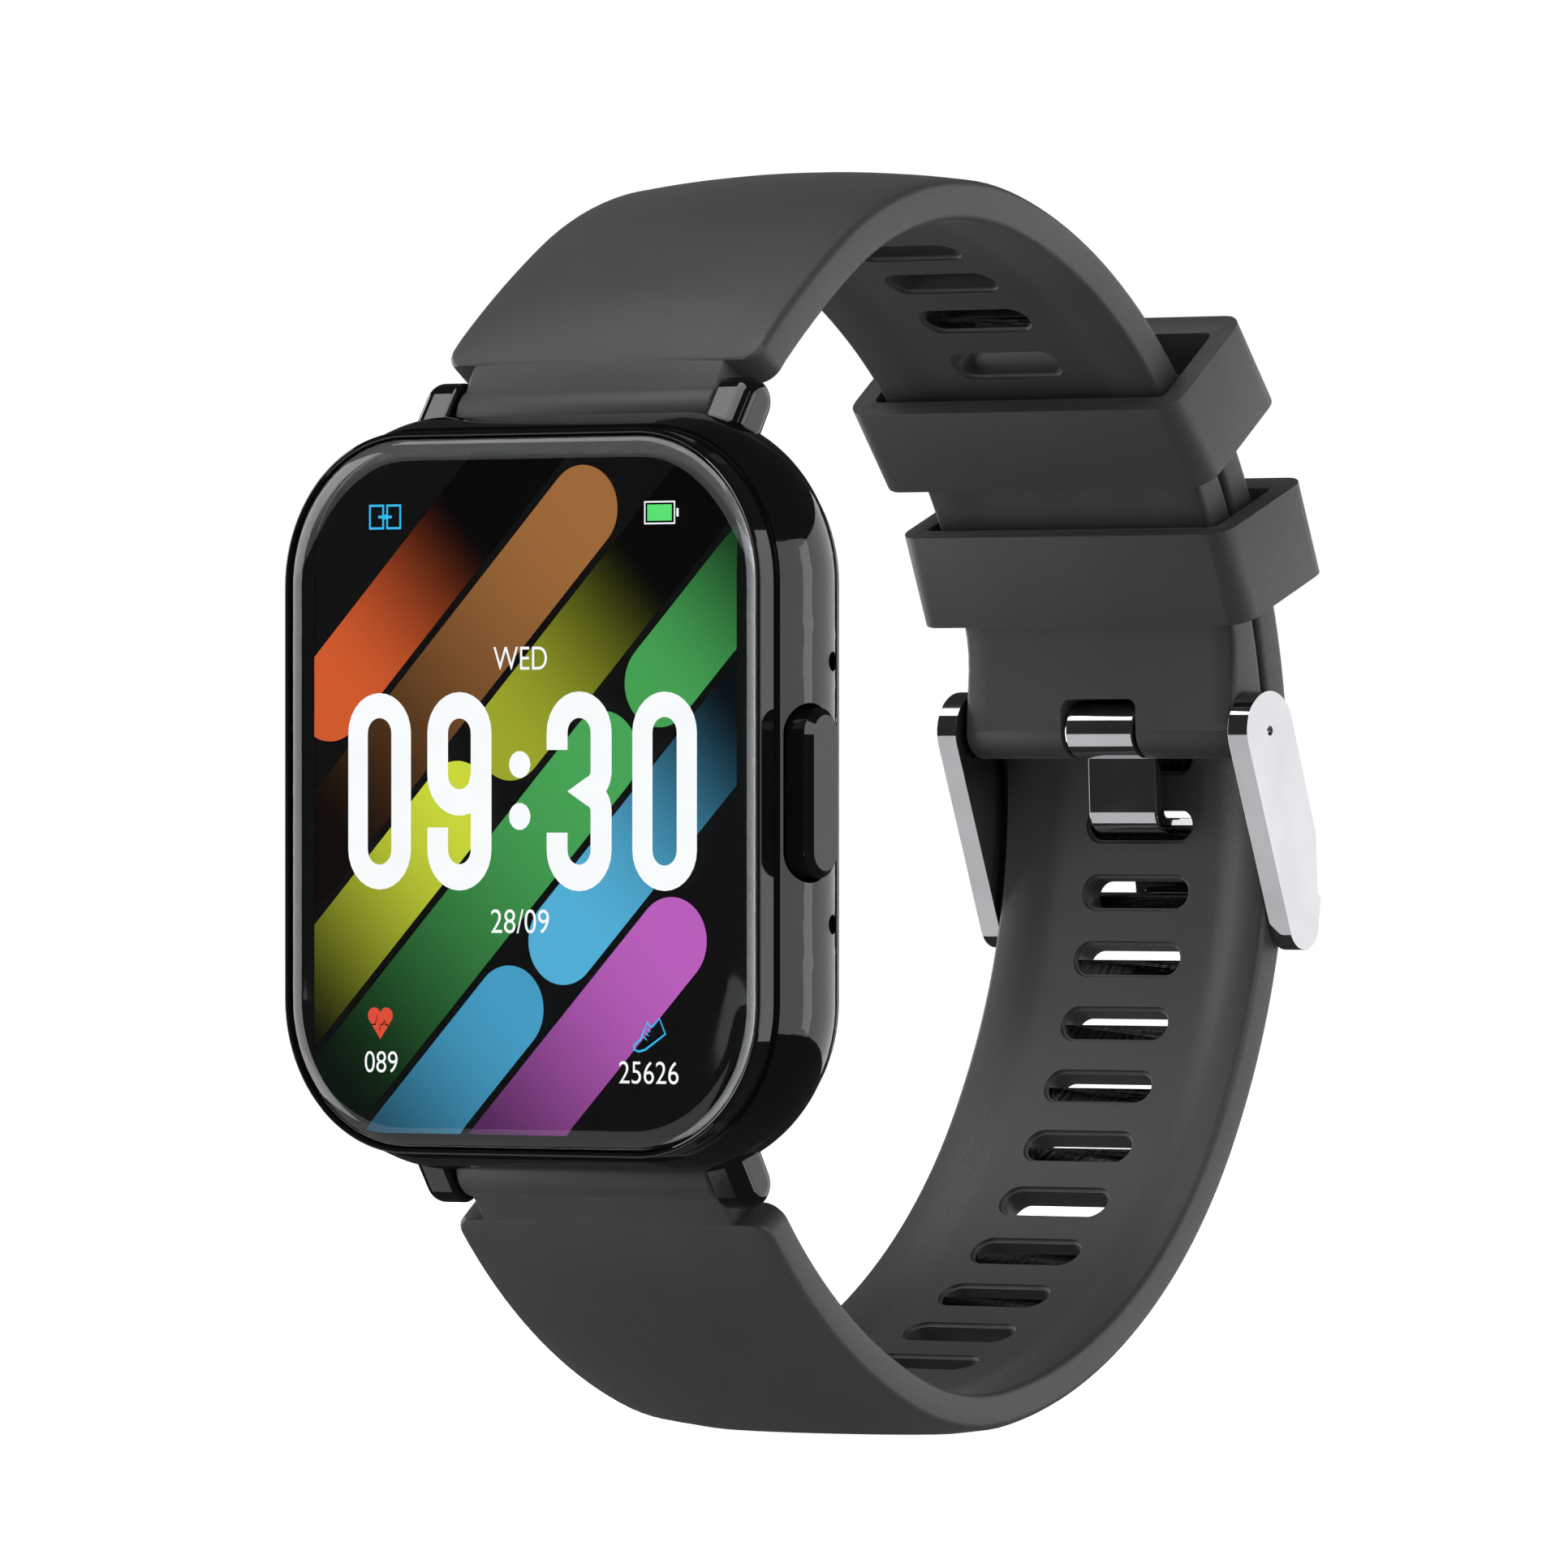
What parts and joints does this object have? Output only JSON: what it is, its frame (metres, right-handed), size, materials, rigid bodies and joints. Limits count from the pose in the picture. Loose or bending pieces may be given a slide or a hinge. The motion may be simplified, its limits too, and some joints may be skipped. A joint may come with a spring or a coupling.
{
  "type": "smartwatch",
  "caption": "Square-faced smartwatch with one side button, closed silicone strap, two sliding keepers and a chrome pin buckle.",
  "frame": {"origin": "centre of the sensor window on the back of the case, where it touches the wrist", "axes": "+Z towards 12 o'clock, +X towards the side button, +Y from the case towards the wrist and the buckle; the display faces -Y"},
  "size_m": [0.0397, 0.0696, 0.0772],
  "materials": {
    "front_glass": "polished, over a black border",
    "bezel_ring": "piano black",
    "glass_gasket": "matte",
    "display_panel": "black, lit in use",
    "mid_frame": "polished black",
    "rear_cover": "satin black",
    "sensor_window": "dark tinted, polished",
    "rear_gasket": "matte",
    "rear_screws": "dark plated",
    "charging_contacts": "gold plated",
    "main_board": "solder mask green",
    "battery": "foil pouch",
    "vibration_motor": "satin",
    "microphone": "satin can",
    "vent_membrane": "matte white membrane",
    "sensor_board": "black solder mask",
    "button_cap": "polished black",
    "button_stem": "turned",
    "button_clip": "spring steel",
    "button_seal": "matte",
    "button_switch": "matte black with steel dome",
    "spring_bar": "turned",
    "bar_spring": "spring wire",
    "bar_tip": "turned",
    "strap": "matte charcoal silicone",
    "keeper": "matte charcoal silicone",
    "buckle": "polished",
    "buckle_pin": "polished"
  },
  "bodies": {
    "case": {"front_glass": "front_glass", "bezel_ring": "bezel_ring", "glass_gasket": "glass_gasket", "display_panel": "display_panel", "mid_frame": "mid_frame", "rear_cover": "rear_cover", "sensor_window": "sensor_window", "rear_gasket": "rear_gasket", "rear_screws": "rear_screws", "charging_contacts": "charging_contacts", "main_board": "main_board", "battery": "battery", "vibration_motor": "vibration_motor", "microphone": "microphone", "vent_membrane": "vent_membrane", "sensor_board": "sensor_board", "button_seal": "button_seal", "button_switch": "button_switch", "spring_bar_upper": "spring_bar", "spring_bar_lower": "spring_bar", "bar_spring_upper": "bar_spring", "bar_spring_lower": "bar_spring"},
    "button": {"button_cap": "button_cap", "button_stem": "button_stem", "button_clip": "button_clip"},
    "tip_upper_left": {"bar_tip_upper_left": "bar_tip"},
    "tip_upper_right": {"bar_tip_upper_right": "bar_tip"},
    "tip_lower_left": {"bar_tip_lower_left": "bar_tip"},
    "tip_lower_right": {"bar_tip_lower_right": "bar_tip"},
    "short_strap": {"strap_short": "strap", "buckle_pin": "buckle_pin"},
    "long_strap": {"strap_long": "strap"},
    "upper_keeper": {"keeper_upper": "keeper"},
    "lower_keeper": {"keeper_lower": "keeper"},
    "buckle": {"buckle_frame": "buckle"},
    "tongue": {"buckle_tongue": "buckle"}
  },
  "joints": [
    {"name": "button_press", "type": "slide", "parent": "case", "child": "button", "axis": [-1, 0, 0], "range_m": [0, 0.0004], "stiffness_N_per_m": 2500, "springref_m": -0.0006},
    {"name": "spring_tip_upper_left", "type": "slide", "parent": "case", "child": "tip_upper_left", "axis": [1, 0, 0], "range_m": [0, 0.001], "stiffness_N_per_m": 800, "springref_m": -0.0015, "deforming": ["bar_spring_upper"]},
    {"name": "spring_tip_upper_right", "type": "slide", "parent": "case", "child": "tip_upper_right", "axis": [-1, 0, 0], "range_m": [0, 0.001], "stiffness_N_per_m": 800, "springref_m": -0.0015},
    {"name": "spring_tip_lower_left", "type": "slide", "parent": "case", "child": "tip_lower_left", "axis": [1, 0, 0], "range_m": [0, 0.001], "stiffness_N_per_m": 800, "springref_m": -0.0015, "deforming": ["bar_spring_lower"]},
    {"name": "spring_tip_lower_right", "type": "slide", "parent": "case", "child": "tip_lower_right", "axis": [-1, 0, 0], "range_m": [0, 0.001], "stiffness_N_per_m": 800, "springref_m": -0.0015},
    {"name": "short_strap_hinge", "type": "hinge", "parent": "case", "child": "short_strap", "pos_m": [0, -0.0016, 0.023], "axis": [1, 0, 0], "range_deg": [-0.15, 0.15]},
    {"name": "long_strap_hinge", "type": "hinge", "parent": "case", "child": "long_strap", "pos_m": [0, -0.0016, -0.023], "axis": [1, 0, 0], "range_deg": [-0.15, 0.15]},
    {"name": "upper_keeper_slide", "type": "hinge", "parent": "short_strap", "child": "upper_keeper", "pos_m": [0, 0.0148, 0], "axis": [1, 0, 0], "range_deg": [-2, 14]},
    {"name": "lower_keeper_slide", "type": "hinge", "parent": "short_strap", "child": "lower_keeper", "pos_m": [0, 0.0148, 0], "axis": [1, 0, 0], "range_deg": [-2.5, 3]},
    {"name": "buckle_hinge", "type": "hinge", "parent": "short_strap", "child": "buckle", "pos_m": [0, 0.05229, 0.00394], "axis": [1, 0, 0], "range_deg": [-1, 0.4]},
    {"name": "tongue_hinge", "type": "hinge", "parent": "short_strap", "child": "tongue", "pos_m": [0, 0.05229, 0.00394], "axis": [1, 0, 0], "range_deg": [-0.3, 1.5]}
  ]
}
